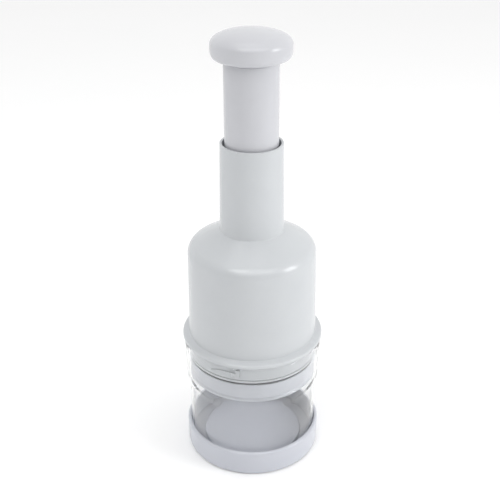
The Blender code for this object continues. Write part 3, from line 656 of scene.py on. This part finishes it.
def tube_moulding():
    bore = 13.2 * MM
    guide = 16.2 * MM
    spigot = 14.6 * MM
    spigot_top = 252.6 * MM
    bush_bore = 5.6 * MM
    corners = [
        (bore, TUBE_FOOT, 0.4 * MM),
        (guide, TUBE_FOOT, 0.5 * MM),
        (guide, TUBE_FOOT + 3.0 * MM, 0.3 * MM),
        (TUBE_RADIUS, TUBE_FOOT + 4.0 * MM, 0.3 * MM),
        (TUBE_RADIUS, TUBE_SHOULDER, 0.3 * MM),
        (spigot, TUBE_SHOULDER),
        (spigot, spigot_top, 0.4 * MM),
        (bore, spigot_top, 0.3 * MM),
        (bore, WEB_TOP, 0.4 * MM),
        (bush_bore, WEB_TOP, 0.2 * MM),
        (bush_bore, WEB_UNDERSIDE, 0.2 * MM),
        (bore, WEB_UNDERSIDE, 0.4 * MM),
    ]
    return turned("tube_moulding", rounded(corners), plunger_shell)


def knob_moulding():
    foot = TUBE_SHOULDER + GAP
    underside = foot + 1.0 * MM
    brim_middle = 255.8 * MM
    brim_foot = 17.4 * MM
    crown = 2.9 * MM
    brim_radii = (KNOB_RADIUS - brim_foot, brim_middle - underside)
    brim = arc((brim_foot, brim_middle), brim_radii, -90, 0, 16, 2.8)
    rise = TOTAL_HEIGHT - crown - brim_middle
    top = []
    for radius, height in arc((0.0, brim_middle), (KNOB_RADIUS, rise), 0, 90, 40, 3.6):
        top.append((radius, height + crown * (1.0 - (radius / KNOB_RADIUS) ** 2)))
    socket = 14.9 * MM
    cavity = [
        (0.0, TOTAL_HEIGHT - 2.4 * MM),
        (9.0 * MM, TOTAL_HEIGHT - 3.2 * MM),
        (15.0 * MM, 260.4 * MM),
        (18.6 * MM, 258.2 * MM),
        (19.9 * MM, 254.9 * MM),
        (18.6 * MM, 253.0 * MM),
        (socket, 252.9 * MM),
        (socket, foot),
    ]
    outline = [(16.1 * MM, foot, 0.2 * MM), (16.4 * MM, underside)]
    outline += brim + top[1:-1] + [(0.0, TOTAL_HEIGHT)] + cavity
    return turned("knob_moulding", rounded(outline, 4), plunger_shell)


def return_coil():
    """The main spring, from its seat to the plunger's web, with a closer turn at each end."""
    turn_steps = 40
    wire_steps = 12
    close_rise = 2.4 * SPRING_WIRE
    first = SPRING_FOOT + SPRING_WIRE
    last = WEB_UNDERSIDE - GAP - SPRING_WIRE
    open_turns = SPRING_TURNS - 2
    open_rise = (last - first - 2 * close_rise) / open_turns
    layers = []
    for i in range(round(SPRING_TURNS * turn_steps) + 1):
        turn = i / turn_steps
        open_part = min(max(turn - 1, 0.0), open_turns)
        height = first + (turn - open_part) * close_rise + open_part * open_rise
        angle = 2 * math.pi * turn
        ring = []
        for k in range(wire_steps):
            around = 2 * math.pi * k / wire_steps
            reach = SPRING_RADIUS + SPRING_WIRE * math.cos(around)
            rise = SPRING_WIRE * math.sin(around)
            ring.append((reach * math.cos(angle), reach * math.sin(angle), height + rise))
        layers.append(ring)
    return lofted("return_coil", layers, wire_steel, 60.0)


place_piece(base_moulding(), "base", "cap_plastic", "base_cap")
place_piece(mat_disc(), "base", "mat_plastic", "chopping_mat")
place_piece(foot_band(), "base", "soft_rubber", "foot_ring")
place_piece(cup_moulding(), "cup", "clear_plastic", "clear_cup")
place_piece(housing_moulding(), "housing", "shell_plastic", "housing_shell")
bayonet()
place_piece(guard_moulding(), "housing", "cap_plastic", "guard_ring")
# A dark ring painted into the gap under the skirt, as painted shade for the shadow there.
place_piece(painted_shade_ring(), "housing", "dark_rubber", "seal_ring")
place_piece(tube_moulding(), "plunger", "shell_plastic", "plunger_tube")
place_piece(knob_moulding(), "plunger", "shell_plastic", "knob")

# In the chopper the main spring's foot stays on its seat and its head goes down with the plunger; here it is
# built at rest.
main_spring = return_coil()
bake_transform(main_spring)
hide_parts("return_spring")


# ------------------------------------------------- the CAD nodes that stay

KEPT = {
    bearing: ("spring_cup", "index_nut", "stem_bush", "drive_stem", "blade_hub", "wiper_disc"),
    blade_steel: ("zigzag_blade",),
    wire_steel: (
        "nut_spring", "spring_seat", "stem_washer", "stem_screw", "hub_screw",
        "spring_cup_screw_1", "spring_cup_screw_2", "spring_cup_screw_3",
    ),
    rubber: ("bumper_washer",),
}
for finish, names in KEPT.items():
    for node_name in names:
        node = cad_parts[node_name]
        if not node.material_slots:
            node.data.materials.append(finish)
        for material_slot in node.material_slots:
            material_slot.link = "OBJECT"
            material_slot.material = finish


# ------------------------------------------------------ floor, light, camera

BODY_MIDDLE = (0.0, 0.0, 0.12)
CAMERA_PLACE = (-1.23 * MM, -450.0 * MM, 366.5 * MM)
CAMERA_DOWN_ANGLE = 27.21
CAMERA_ROLL = -0.276
SENSOR_WIDTH = 36.0
FOCAL_LENGTH = 61.578


def pale_floor():
    """A wide floor of smooth white board."""
    f = Finish("floor_board").set(IOR=1.3, Specular_IOR_Level=0.1, Emission_Strength=0.045)
    f.shader.inputs["Emission Color"].default_value = (1.0, 1.0, 1.0, 1.0)
    f.colour(f.blend(f.noise(3.0, 4.0, 0.6), (0.92, 0.92, 0.92), (0.94, 0.94, 0.94)))
    f.rough(f.span(f.noise(40.0, 3.0, 0.6), 0.3, 0.7, 0.7, 0.85))
    material = f.bumps((f.noise(700.0, 3.0, 0.6), 0.00004, 0.4))
    shape = bmesh.new()
    corners = [shape.verts.new((x, y, 0.0)) for x, y in ((-6, -6), (6, -6), (6, 6), (-6, 6))]
    shape.faces.new(corners)
    bmesh.ops.subdivide_edges(shape, edges=shape.edges, cuts=6, use_grid_fill=True)
    mesh = bpy.data.meshes.new("studio_floor")
    shape.to_mesh(mesh)
    shape.free()
    mesh.materials.append(material)
    board = bpy.data.objects.new("studio_floor", mesh)
    bpy.context.scene.collection.objects.link(board)
    board.location.z = -0.0002


def studio_world():
    """White surroundings, darker on the camera's side of the room."""
    world = bpy.data.worlds.new("studio")
    bpy.context.scene.world = world
    world.use_nodes = True
    nodes = world.node_tree.nodes
    links = world.node_tree.links
    background = nodes["Background"]
    coordinates = nodes.new("ShaderNodeTexCoord")
    parts = nodes.new("ShaderNodeSeparateXYZ")
    links.new(coordinates.outputs["Generated"], parts.inputs[0])
    ramp = nodes.new("ShaderNodeMapRange")
    ramp.inputs["From Min"].default_value = -1.0
    ramp.inputs["From Max"].default_value = -0.1
    ramp.inputs["To Min"].default_value = 0.48
    ramp.inputs["To Max"].default_value = 1.0
    links.new(parts.outputs["Y"], ramp.inputs["Value"])
    background.inputs["Color"].default_value = (1.0, 1.0, 1.0, 1.0)
    links.new(ramp.outputs[0], background.inputs["Strength"])


def area_light(name, place, size, power, aim=BODY_MIDDLE):
    """A white softbox that faces a point. size is its width and height, and power is in watts."""
    data = bpy.data.lights.new(name, "AREA")
    data.shape = "RECTANGLE"
    data.size, data.size_y = size
    data.energy = power
    lamp = bpy.data.objects.new(name, data)
    bpy.context.scene.collection.objects.link(lamp)
    lamp.location = place
    direction = [a - p for a, p in zip(aim, place)]
    tilt = math.acos(-direction[2] / math.hypot(*direction))
    heading = math.atan2(direction[1], direction[0]) - math.pi / 2
    lamp.rotation_euler = (tilt, 0.0, heading)
    return lamp


pale_floor()
studio_world()
area_light("right_softbox", (0.81, -0.30, 0.45), (0.35, 0.4), 3.1)
area_light("top_softbox", (-0.10, 0.05, 1.15), (0.6, 0.6), 1.3, (0.0, 0.0, 0.0))
area_light("front_softbox", (-0.38, -0.62, 1.05), (0.5, 0.5), 2.0)

# This one only adds the soft sheen on rounded edges.
sheen = area_light("sheen_softbox", (0.05, -0.80, 1.10), (1.5, 0.9), 9.0)
sheen.visible_diffuse = False
sheen.visible_transmission = False

camera_data = bpy.data.cameras.new("camera")
camera_data.sensor_width = SENSOR_WIDTH
camera_data.lens = FOCAL_LENGTH
camera_data.clip_start = 10.0 * MM
camera = bpy.data.objects.new("camera", camera_data)
bpy.context.scene.collection.objects.link(camera)
camera.location = CAMERA_PLACE
camera.rotation_euler = (math.radians(90.0 - CAMERA_DOWN_ANGLE), 0.0, 0.0)
camera.rotation_euler.rotate_axis("Z", math.radians(CAMERA_ROLL))
bpy.context.scene.camera = camera
bpy.context.scene.view_settings.view_transform = "Standard"
